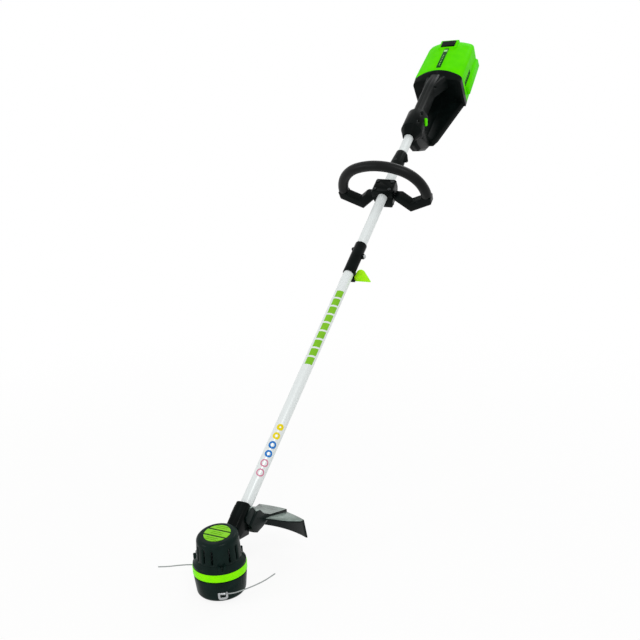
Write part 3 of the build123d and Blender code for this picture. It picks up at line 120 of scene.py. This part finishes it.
# ---------------------------------------------------------------- camera
CAMERA_PLACE = (0.930244, -1.279157, 0.935956)
CAMERA_AZIMUTH = radians(28.0054)
CAMERA_ELEVATION = radians(14.2124)
CAMERA_ROLL = radians(3.0892)
CAMERA_LENS = 50            # focal length and sensor width, millimetres
CAMERA_SENSOR = 36
CAMERA_REACH = 100


def build_camera():
    """Looks down on the tool from its front right, a little rolled."""
    look = Vector((-sin(CAMERA_AZIMUTH) * cos(CAMERA_ELEVATION),
                   cos(CAMERA_AZIMUTH) * cos(CAMERA_ELEVATION),
                   -sin(CAMERA_ELEVATION)))
    level = Vector((cos(CAMERA_AZIMUTH), sin(CAMERA_AZIMUTH), 0))
    upright = level.cross(look)
    right = level * cos(CAMERA_ROLL) - upright * sin(CAMERA_ROLL)
    up = level * sin(CAMERA_ROLL) + upright * cos(CAMERA_ROLL)
    lens = bpy.data.cameras.new("camera")
    lens.lens = CAMERA_LENS
    lens.sensor_width = CAMERA_SENSOR
    lens.clip_end = CAMERA_REACH
    camera = bpy.data.objects.new("camera", lens)
    turn = Matrix((right, up, -look)).transposed().to_4x4()
    camera.matrix_world = Matrix.Translation(CAMERA_PLACE) @ turn
    scene.collection.objects.link(camera)
    scene.camera = camera


build_camera()


# ---------------------------------------------------------------- cutting lines
LINE_DIAMETER = 0.0024
# from the eyelet outward, the same places as in the solids
LINE_ROUTES = {
    "line_a": [(0.034768, -0.038661, 0.0250), (0.046550, -0.033167, 0.0250), (0.0575, -0.0175, 0.0250),
               (0.069, 0.004, 0.0246), (0.078, 0.027, 0.0241), (0.0825, 0.047, 0.0236),
               (0.0845, 0.064, 0.0230)],
    "line_b": [(-0.034768, 0.038661, 0.0250), (-0.046550, 0.033167, 0.0250), (-0.068, 0.0315, 0.0250),
               (-0.090, 0.0285, 0.0247), (-0.113, 0.017, 0.0242), (-0.134, 0.003, 0.0237),
               (-0.151, -0.0035, 0.0233)],
}


def cutting_line(node):
    """A free end of nylon cutting line, stiff enough to stand out from its eyelet."""
    curve = bpy.data.curves.new("cutting_" + node, "CURVE")
    curve.dimensions = "3D"
    spline = curve.splines.new("NURBS")
    route = LINE_ROUTES[node]
    spline.points.add(len(route) - 1)
    for point, place in zip(spline.points, route):
        point.co = (*place, 1)
    spline.order_u = 3
    spline.use_endpoint_u = True
    curve.resolution_u = 16
    curve.bevel_depth = LINE_DIAMETER / 2
    curve.bevel_resolution = 4
    curve.use_fill_caps = True
    piece = bpy.data.objects.new("cutting_" + node, curve)
    scene.collection.objects.link(piece)
    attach(piece, "spinner")
    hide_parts(node)
    return piece


lines = [cutting_line(node) for node in LINE_ROUTES]


# ---------------------------------------------------------------- materials
WHITE = (1, 1, 1, 1)


def srgb(code):
    """An sRGB hex colour as linear values, opaque."""
    channels = [int(code[i:i + 2], 16) / 255 for i in (1, 3, 5)]
    return (*[c / 12.92 if c <= 0.04045 else ((c + 0.055) / 1.055) ** 2.4 for c in channels], 1.0)


def add(tree, kind, values=None, links=None, **settings):
    """Adds a node with its settings, its socket values and the outputs that feed it."""
    node = tree.nodes.new(kind)
    for key, value in settings.items():
        setattr(node, key, value)
    for socket, value in (values or {}).items():
        node.inputs[socket].default_value = value
    for socket, output in (links or {}).items():
        tree.links.new(output, node.inputs[socket])
    return node


def new_material(name):
    """A material with a bare node tree; gives its tree and its Principled shader."""
    material = bpy.data.materials.new(name)
    material.use_nodes = True
    tree = material.node_tree
    tree.nodes.clear()
    shader = add(tree, "ShaderNodeBsdfPrincipled")
    add(tree, "ShaderNodeOutputMaterial", links={"Surface": shader.outputs["BSDF"]})
    return material, tree, shader


MOTTLE_MM = 26.0            # spacing of the slow patches of gloss and tone
MOTTLE_SPREAD = (0.35, 0.7) # the noise values between which one tone gives way to the other
GLOSS_SWING = 0.06          # roughness up and down from its middle
GRAIN_STRENGTH = 0.5
PAINTED_SHEEN_FROM = 0.8            # the upward share of a face's direction where its painted sheen begins; 1 is a level face


def moulded(name, colour, worn, roughness, ior=1.53, grain_mm=1.6, relief_mm=0.05, metallic=0.0,
            specular=0.5, sheen=0.0, painted_sheen=None):
    """An injection moulding: spark-eroded grain, slow variation of gloss from the melt's flow, and a slightly
    different tone where hands and dust have been. Tones are sRGB hex. The last argument gives a painted
    sheen: a pale tone on faces that look up, painted in place of the reflection of the bright studio above
    them."""
    material, tree, shader = new_material(name)
    place = add(tree, "ShaderNodeTexCoord").outputs["Object"]
    grain = add(tree, "ShaderNodeTexNoise", {"Scale": 1 / (grain_mm * MM), "Detail": 3.0, "Roughness": 0.6},
                {"Vector": place})
    mottle = add(tree, "ShaderNodeTexNoise",
                 {"Scale": 1 / (MOTTLE_MM * MM), "Detail": 4.0, "Roughness": 0.55}, {"Vector": place})
    spread = add(tree, "ShaderNodeMapRange", {"From Min": MOTTLE_SPREAD[0], "From Max": MOTTLE_SPREAD[1]},
                 {"Value": mottle.outputs["Fac"]})
    tone = add(tree, "ShaderNodeMix", {"A": srgb(colour), "B": srgb(worn)},
               {"Factor": spread.outputs["Result"]}, data_type="RGBA")
    # painted sheen: faces that look up are mixed, in patches, toward a pale tone that stands in for the
    # studio's reflection
    if painted_sheen:
        geometry = add(tree, "ShaderNodeNewGeometry")
        way = add(tree, "ShaderNodeSeparateXYZ", links={0: geometry.outputs["Normal"]})
        painted_sheen_facing = add(tree, "ShaderNodeMapRange", {"From Min": PAINTED_SHEEN_FROM, "From Max": 1.0},
                    {"Value": way.outputs["Z"]}, interpolation_type="SMOOTHSTEP")
        painted_sheen_mask = add(tree, "ShaderNodeMath", links={0: painted_sheen_facing.outputs["Result"], 1: mottle.outputs["Fac"]},
                     operation="MULTIPLY")
        tone = add(tree, "ShaderNodeMix", {"B": srgb(painted_sheen)},
                   {"Factor": painted_sheen_mask.outputs[0], "A": tone.outputs["Result"]}, data_type="RGBA")
    tree.links.new(tone.outputs["Result"], shader.inputs["Base Color"])
    gloss = add(tree, "ShaderNodeMapRange",
                {"To Min": roughness - GLOSS_SWING, "To Max": roughness + GLOSS_SWING},
                {"Value": mottle.outputs["Fac"]})
    tree.links.new(gloss.outputs["Result"], shader.inputs["Roughness"])
    relief = add(tree, "ShaderNodeBump", {"Strength": GRAIN_STRENGTH, "Distance": relief_mm * MM},
                 {"Height": grain.outputs["Fac"]})
    tree.links.new(relief.outputs["Normal"], shader.inputs["Normal"])
    shader.inputs["IOR"].default_value = ior
    shader.inputs["Metallic"].default_value = metallic
    shader.inputs["Specular IOR Level"].default_value = specular
    shader.inputs["Sheen Weight"].default_value = sheen
    return material


# PA6 nylon with glass fibre, moulded in a spark-eroded tool: nearly black, cool in cast, with a thin sheen
nylon_black = moulded("glass_filled_nylon_black", "#060A09", "#0B1211", 0.3, specular=0.045)
# the same nylon off a smoother tool, for the motor cap and the spinning drum: slate black
nylon_drum = moulded("glass_filled_nylon_drum", "#0F1D1A", "#152623", 0.28, relief_mm=0.03, specular=0.05)
# polypropylene guard: smooth and nearly black on its sides, with a painted sheen of pale grey-green where it
# faces up, in place of the studio's reflection on its top
guard_pp = moulded("polypropylene_guard", "#0B1413", "#111D1B", 0.2, ior=1.49, relief_mm=0.01, specular=0.09,
                   painted_sheen="#D0E4DA")
# ABS housing coloured in the melt, fine grain, satin
abs_green = moulded("abs_housing_green", "#60EA00", "#56E200", 0.36, grain_mm=2.0, relief_mm=0.03,
                    specular=0.01)
abs_lime = moulded("abs_trim_lime", "#92FF00", "#84FA00", 0.34, relief_mm=0.02, specular=0.05)
abs_vent = moulded("abs_vent_lime", "#8CD82C", "#80CC26", 0.4, relief_mm=0.02, specular=0.1)
nylon_lime = moulded("nylon_wing_lime", "#B0FA14", "#A2F210", 0.42, relief_mm=0.03, specular=0.1)
# smooth black ABS of triggers and latches
abs_black = moulded("abs_smooth_black", "#040606", "#080B0B", 0.24, relief_mm=0.01, specular=0.12)
# thermoplastic rubber sleeve: dull, softly pebbled
rubber_grip = moulded("tpe_grip_rubber", "#070909", "#0D1010", 0.4, ior=1.5, grain_mm=2.4, relief_mm=0.12,
                      specular=0.14, sheen=0.04)
grey_plastic = moulded("nylon_dark_grey", "#2A2D2D", "#333636", 0.5)
pcb = moulded("circuit_board_lacquer", "#0F4A28", "#0C3C20", 0.35, relief_mm=0.01)
pvc = moulded("pvc_cable_sheath", "#101010", "#181818", 0.5, relief_mm=0.01)
copper = moulded("enamelled_copper_wire", "#9A5226", "#B4642F", 0.35, metallic=1.0, grain_mm=0.8,
                 relief_mm=0.2)
# polyester film printed in dark green, and the pale ink on it
label_film = moulded("printed_film_dark_green", "#08420F", "#0B5014", 0.25, relief_mm=0.0, specular=0.06)
film_pale = moulded("printed_film_pale_green", "#A6EC92", "#96E082", 0.3, relief_mm=0.0, specular=0.1)
# screen-print inks on the tube
ink_green = moulded("screen_ink_green", "#86C92E", "#7CBE28", 0.4, relief_mm=0.0, specular=0.08)
ink_yellow = moulded("screen_ink_yellow", "#F2DE1E", "#E8D418", 0.4, relief_mm=0.0, specular=0.08)
ink_blue = moulded("screen_ink_blue", "#2A7CCB", "#2474C2", 0.4, relief_mm=0.0, specular=0.08)
ink_rose = moulded("screen_ink_rose", "#DE8FA8", "#D6869F", 0.4, relief_mm=0.0, specular=0.08)


STREAK_STRETCH = 50         # a streak's length over its width
STREAK_SWING = 0.08         # roughness up and down from its middle
STREAK_RELIEF_MM = 0.02


def brushed(name, colour, dull, roughness, streak_mm, metallic=1.0):
    """Metal drawn or ground along the shaft: long streaks of gloss on a plain colour."""
    material, tree, shader = new_material(name)
    place = add(tree, "ShaderNodeTexCoord").outputs["Object"]
    angle = atan2(along.z, along.y)
    stretched = add(tree, "ShaderNodeMapping", {"Rotation": (angle, 0, 0), "Scale": (1, STREAK_STRETCH, 1)},
                    {"Vector": place}, vector_type="TEXTURE")
    streaks = add(tree, "ShaderNodeTexNoise", {"Scale": 1 / (streak_mm * MM), "Detail": 4.0},
                  {"Vector": stretched.outputs["Vector"]})
    tone = add(tree, "ShaderNodeMix", {"A": srgb(colour), "B": srgb(dull)},
               {"Factor": streaks.outputs["Fac"]}, data_type="RGBA")
    tree.links.new(tone.outputs["Result"], shader.inputs["Base Color"])
    gloss = add(tree, "ShaderNodeMapRange",
                {"To Min": roughness - STREAK_SWING, "To Max": roughness + STREAK_SWING},
                {"Value": streaks.outputs["Fac"]})
    tree.links.new(gloss.outputs["Result"], shader.inputs["Roughness"])
    relief = add(tree, "ShaderNodeBump", {"Strength": 0.2, "Distance": STREAK_RELIEF_MM * MM},
                 {"Height": streaks.outputs["Fac"]})
    tree.links.new(relief.outputs["Normal"], shader.inputs["Normal"])
    shader.inputs["Metallic"].default_value = metallic
    return material


# aluminium tube, powder coated in pale silver: bright, hardly metallic
tube_silver = brushed("powder_coated_aluminium", "#E9EEEE", "#DFE5E4", 0.34, 1.2, metallic=0.1)
zinc_steel = brushed("zinc_plated_steel", "#B9BCBD", "#A3A7A8", 0.34, 0.8)
dark_steel = brushed("blackened_steel", "#3A3D3E", "#2C2F30", 0.42, 0.8)
laminated_steel = brushed("laminated_silicon_steel", "#6B6E70", "#57595B", 0.45, 0.8)
# nylon monofilament: pale grey, slightly glossy
monofilament = moulded("nylon_monofilament", "#A2A7A7", "#949A9A", 0.35, grain_mm=4.0, relief_mm=0.02)
for line in lines:
    line.data.materials.append(monofilament)

FINISHES = {
    "green_shell": abs_green, "lime_trim": abs_lime, "vent_lime": abs_vent, "wing_lime": nylon_lime,
    "black_shell": nylon_black, "black_gloss": abs_black, "dark_grey_plastic": grey_plastic,
    "guard_plastic": guard_pp, "soft_grip": rubber_grip, "tube_silver": tube_silver,
    "line_grey": monofilament, "steel": zinc_steel, "dark_steel": dark_steel, "copper_winding": copper,
    "magnet_steel": laminated_steel,
    "cable_black": pvc, "board_green": pcb, "label_dark": label_film,
}
# pieces that share a slot with others but come off a smoother tool
NODE_FINISHES = {"motor_cap": nylon_drum, "motor_base": nylon_drum, "spool_housing": nylon_drum}
slot_of = {part["node"]: part["material_slot"] for part in frame["record"]["subparts"]}


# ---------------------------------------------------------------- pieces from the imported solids
SAME_PLACE = 2e-6           # corners of neighbouring facets closer than this are one
FLAT_ANGLE = radians(0.6)   # facets that meet at less than this are one face
ROUNDED_FROM = radians(24)  # edges that turn more than this are rounded
SHARP_FROM = radians(35)    # edges that turn more than this stay sharp in the shading


def link(name, work):
    """Turns a bmesh into a linked object with smooth shading."""
    mesh = bpy.data.meshes.new(name)
    work.to_mesh(mesh)
    work.free()
    mesh.shade_smooth()
    mesh.set_sharp_from_angle(angle=SHARP_FROM)
    piece = bpy.data.objects.new(name, mesh)
    scene.collection.objects.link(piece)
    return piece


def softened(node, name, radius_mm):
    """A copy of a CAD node that stands for it, with facets merged and edges rounded as a moulding's are."""
    work = bmesh.new()
    work.from_mesh(frame["nodes"][node].data)
    bmesh.ops.remove_doubles(work, verts=work.verts, dist=SAME_PLACE)
    bmesh.ops.dissolve_limit(work, angle_limit=FLAT_ANGLE, verts=work.verts, edges=work.edges)
    if radius_mm:
        edges = [e for e in work.edges if len(e.link_faces) == 2 and e.calc_face_angle() > ROUNDED_FROM]
        bmesh.ops.bevel(work, geom=edges, offset=radius_mm * MM, offset_type="OFFSET", segments=2,
                        profile=0.5, affect="EDGES", clamp_overlap=True, material=-1)
    piece = link(name, work)
    piece.data.materials.clear()
    piece.data.materials.append(NODE_FINISHES.get(node, FINISHES[slot_of[node]]))
    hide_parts(node)
    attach(piece, frame["nodes"][node]["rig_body"])
    return piece


# node, its piece's name, and the radius of its edges in millimetres
SOFTENED = [
    ("motor_cap", "cap_moulding", 0.6), ("motor_base", "base_moulding", 0.6), ("trim_ring", "lime_ring", 0),
    ("vent_insert", "vent_grille", 0.4), ("spool_housing", "drum_moulding", 0.5),
    ("bump_knob", "ground_knob", 0.5), ("spool_retainer", "retaining_ring", 0),
    ("line_eyelets", "eyelet_pair", 0.3), ("neck_left", "neck_shell_left", 0.6),
    ("neck_right", "neck_shell_right", 0.6), ("guard", "guard_moulding", 0.6),
    ("coupler_sleeve", "coupler_moulding", 0.5), ("lock_pin", "release_pin", 0.4),
    ("loop_frame", "loop_moulding", 1.0), ("loop_clamp", "loop_cap", 0.8), ("loop_grip", "loop_sleeve", 1.0),
    ("strap_hanger", "hanger_collar", 0.6), ("handle_left", "handle_shell_left", 1.2),
    ("handle_right", "handle_shell_right", 1.2), ("trigger", "trigger_lever_moulding", 0.8),
    ("lock_button", "lock_slider", 0.5), ("battery_housing", "battery_bay_moulding", 1.0),
    ("battery_latch", "latch_moulding", 0.6), ("battery_pack", "battery_case", 0.8),
    ("side_vents", "vent_plates", 0), ("label_plate", "label_strip", 0.2),
    ("coupler_knob", "wing_moulding", 0.5),
    ("lower_tube", "tube_lower", 0.2), ("upper_tube", "tube_upper", 0.2),
]


def build_spring():
    """The spring over the bump knob, as a piece with a mesh of its own; on the real tool it shortens by the
    knob's travel when the knob is tapped.
    """
    spring = softened("bump_spring", "spring_coil", 0)
    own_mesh(spring)


def finish_plain_nodes():
    """Gives the nodes that keep their own solid their materials."""
    stood_for = {node for node, name, radius in SOFTENED} | {"bump_spring"} | set(LINE_ROUTES)
    for node, solid in frame["nodes"].items():
        if node not in stood_for:
            solid.data.materials.clear()
            solid.data.materials.append(FINISHES[slot_of[node]])


for node, name, radius in SOFTENED:
    softened(node, name, radius)
build_spring()
finish_plain_nodes()


# ---------------------------------------------------------------- print on the tube and the label
# Millimetres, except for the shares and the turn.
PRINT_PROUD = 0.08          # thickness of the ink film
PRINT_TURN = radians(32)    # the print faces this far from straight up, toward the tool's right
BARS = (485.0, 712.0)       # where the row of bars starts and ends along the tube
BAR_COUNT = 9
BAR_ACROSS = 18.0
BAR_SHARE = 0.8             # a bar's length over the bars' spacing
BAR_SLANT = 0.25            # how far a bar leans along the tube, over its width
BAR_CUTS = 11               # cuts that let a bar and a spot bend round the tube without sinking into it
SPOT_CUTS = 4
SPOT_SIDES = 32
BADGE_PLACE = 0.88          # share of the label's length
BADGE_SHARE = 0.8           # share of the label's width
DASH_START = 0.12           # shares of the label's length
DASH_PITCH = 0.085
DASH_COUNT = 7
DASH_LENGTH = 2.6
DASH_SHARE = 0.24           # share of the label's width


def inked(name, work, ink):
    """Turns a print's mesh into a piece with its ink, fixed to the tool."""
    bmesh.ops.recalc_face_normals(work, faces=work.faces)
    piece = link(name, work)
    piece.data.materials.append(ink)
    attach(piece, "tool")


def wrap(work):
    """Lays a flat (s, across) pattern in millimetres round the tube."""
    radius = TUBE_R + PRINT_PROUD * MM
    for vertex in work.verts:
        turn = PRINT_TURN + vertex.co.y * MM / radius
        spoke = square * cos(turn) + Vector((sin(turn), 0, 0))
        vertex.co = axis_start + along * (vertex.co.x * MM) + spoke * radius


def build_bars():
    """A row of plain slanted bars, each a short block along the tube."""
    work = bmesh.new()
    low, high = BARS
    pitch = (high - low) / BAR_COUNT
    for place in range(BAR_COUNT):
        middle = low + (place + 0.5) * pitch
        cell = bmesh.ops.create_grid(work, x_segments=1, y_segments=1, size=0.5)["verts"]
        bmesh.ops.scale(work, verts=cell, vec=(pitch * BAR_SHARE, BAR_ACROSS, 1))
        for vertex in cell:
            vertex.co.x += vertex.co.y * BAR_SLANT
        bmesh.ops.translate(work, verts=cell, vec=(middle, 0, 0))
    bmesh.ops.subdivide_edges(work, edges=work.edges, cuts=BAR_CUTS, use_grid_fill=True)
    wrap(work)
    inked("tube_print_bars", work, ink_green)


def build_spots(name, places, ink):
    """Plain printed rings: (place along the tube, radius, hole's radius)."""
    work = bmesh.new()
    for middle, radius, hole in places:
        outer = bmesh.ops.create_circle(work, segments=SPOT_SIDES, radius=radius)["verts"]
        rim = list({edge for vertex in outer for edge in vertex.link_edges})
        grown = bmesh.ops.extrude_edge_only(work, edges=rim)["geom"]
        inner = [item for item in grown if isinstance(item, bmesh.types.BMVert)]
        bmesh.ops.scale(work, verts=inner, vec=(hole / radius, hole / radius, 1))
        bmesh.ops.translate(work, verts=outer + inner, vec=(middle, 0, 0))
    bmesh.ops.subdivide_edges(work, edges=work.edges, cuts=SPOT_CUTS, use_grid_fill=True)
    wrap(work)
    inked(name, work, ink)


def build_label_print():
    """A pale square badge at the label's upper end and plain dashes in place of words."""
    (low_s, low_n), (high_s, high_n) = top_ends("label_plate")
    slope = (high_n - low_n) / (high_s - low_s)
    label_low, label_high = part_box("label_plate")
    width = (label_high.x - label_low.x) / MM
    length = high_s - low_s
    badge = width * BADGE_SHARE
    starts = [DASH_START + DASH_PITCH * place for place in range(DASH_COUNT)]
    dashes = [(start, DASH_LENGTH, width * DASH_SHARE) for start in starts]
    for name, cells in (("label_badge", [(BADGE_PLACE, badge, badge)]), ("label_dashes", dashes)):
        work = bmesh.new()
        for share, long, wide in cells:
            cell = bmesh.ops.create_grid(work, x_segments=1, y_segments=1, size=0.5)["verts"]
            for vertex in cell:
                s = low_s + share * length + vertex.co.x * long
                vertex.co = at(s, low_n + (s - low_s) * slope + PRINT_PROUD, vertex.co.y * wide)
        inked(name, work, film_pale)


build_bars()
build_spots("tube_print_spots_yellow", [(316, 8, 2), (294, 8.5, 3.5)], ink_yellow)
build_spots("tube_print_spots_blue", [(271, 9, 4.5), (249, 8.5, 4)], ink_blue)
build_spots("tube_print_spots_rose", [(226, 9, 6), (203, 9, 6)], ink_rose)
build_label_print()


# ---------------------------------------------------------------- floor, light
FLOOR_HALF = 20
# The floor's own white takes over from its shaded paint between these distances from the head, so that only
# the tool's near shadow shows.
FADE_NEAR = 0.5
FADE_FAR = 2.2
FADE_LEAST = 0.9
SOFT_STRENGTH = 0.62        # the world's light on the tool; the camera and reflections see full white
# name: (place, width, watts)
LAMPS = {
    "key": ((1.4, -1.0, 2.8), 0.9, 24),
    "fill": ((-1.9, -1.6, 1.5), 0.7, 13),
    "rear": ((0.3, 2.8, 2.6), 1.2, 16),
}


def seen_directly(tree):
    """1 for the rays of the camera and of reflections, 0 for those that light the tool."""
    path = add(tree, "ShaderNodeLightPath").outputs
    either = add(tree, "ShaderNodeMath", links={0: path["Is Camera Ray"], 1: path["Is Glossy Ray"]},
                 operation="MAXIMUM")
    return either.outputs[0]


def build_floor():
    """A white floor that keeps the tool's shadow and melts into the background."""
    work = bmesh.new()
    bmesh.ops.create_grid(work, x_segments=1, y_segments=1, size=FLOOR_HALF)
    mesh = bpy.data.meshes.new("floor")
    work.to_mesh(mesh)
    work.free()
    floor = bpy.data.objects.new("floor", mesh)
    scene.collection.objects.link(floor)
    material, tree, shader = new_material("painted_floor")
    shader.inputs["Base Color"].default_value = srgb("#F4F4F2")
    shader.inputs["Roughness"].default_value = 0.9
    white = add(tree, "ShaderNodeEmission", {"Color": WHITE, "Strength": 1.0})
    place = add(tree, "ShaderNodeTexCoord").outputs["Object"]
    away = add(tree, "ShaderNodeVectorMath", links={0: place}, operation="LENGTH")
    fade = add(tree, "ShaderNodeMapRange",
               {"From Min": FADE_NEAR, "From Max": FADE_FAR, "To Min": FADE_LEAST, "To Max": 1.0},
               {"Value": away.outputs["Value"]}, interpolation_type="SMOOTHSTEP")
    share = add(tree, "ShaderNodeMath", links={0: seen_directly(tree), 1: fade.outputs["Result"]},
                operation="MULTIPLY")
    blend = add(tree, "ShaderNodeMixShader",
                links={0: share.outputs[0], 1: shader.outputs[0], 2: white.outputs[0]})
    output = next(node for node in tree.nodes if node.type == "OUTPUT_MATERIAL")
    tree.links.new(blend.outputs[0], output.inputs["Surface"])
    mesh.materials.append(material)


def build_light():
    """A white studio with three soft lamps that look at the tool's middle."""
    world = bpy.data.worlds.new("studio")
    scene.world = world
    world.use_nodes = True
    tree = world.node_tree
    tree.nodes.clear()
    soft = add(tree, "ShaderNodeBackground", {"Color": WHITE, "Strength": SOFT_STRENGTH})
    white = add(tree, "ShaderNodeBackground", {"Color": WHITE, "Strength": 1.0})
    blend = add(tree, "ShaderNodeMixShader",
                links={0: seen_directly(tree), 1: soft.outputs[0], 2: white.outputs[0]})
    add(tree, "ShaderNodeOutputWorld", links={"Surface": blend.outputs[0]})
    middle = (Vector(cad_box[0]) + Vector(cad_box[1])) / 2
    for name, (place, size, power) in LAMPS.items():
        lamp = bpy.data.lights.new(name, "AREA")
        lamp.energy = power
        lamp.size = size
        holder = bpy.data.objects.new(name, lamp)
        holder.location = place
        holder.rotation_euler = (middle - Vector(place)).to_track_quat("-Z", "Y").to_euler()
        scene.collection.objects.link(holder)
    scene.view_settings.view_transform = "Standard"


build_floor()
build_light()
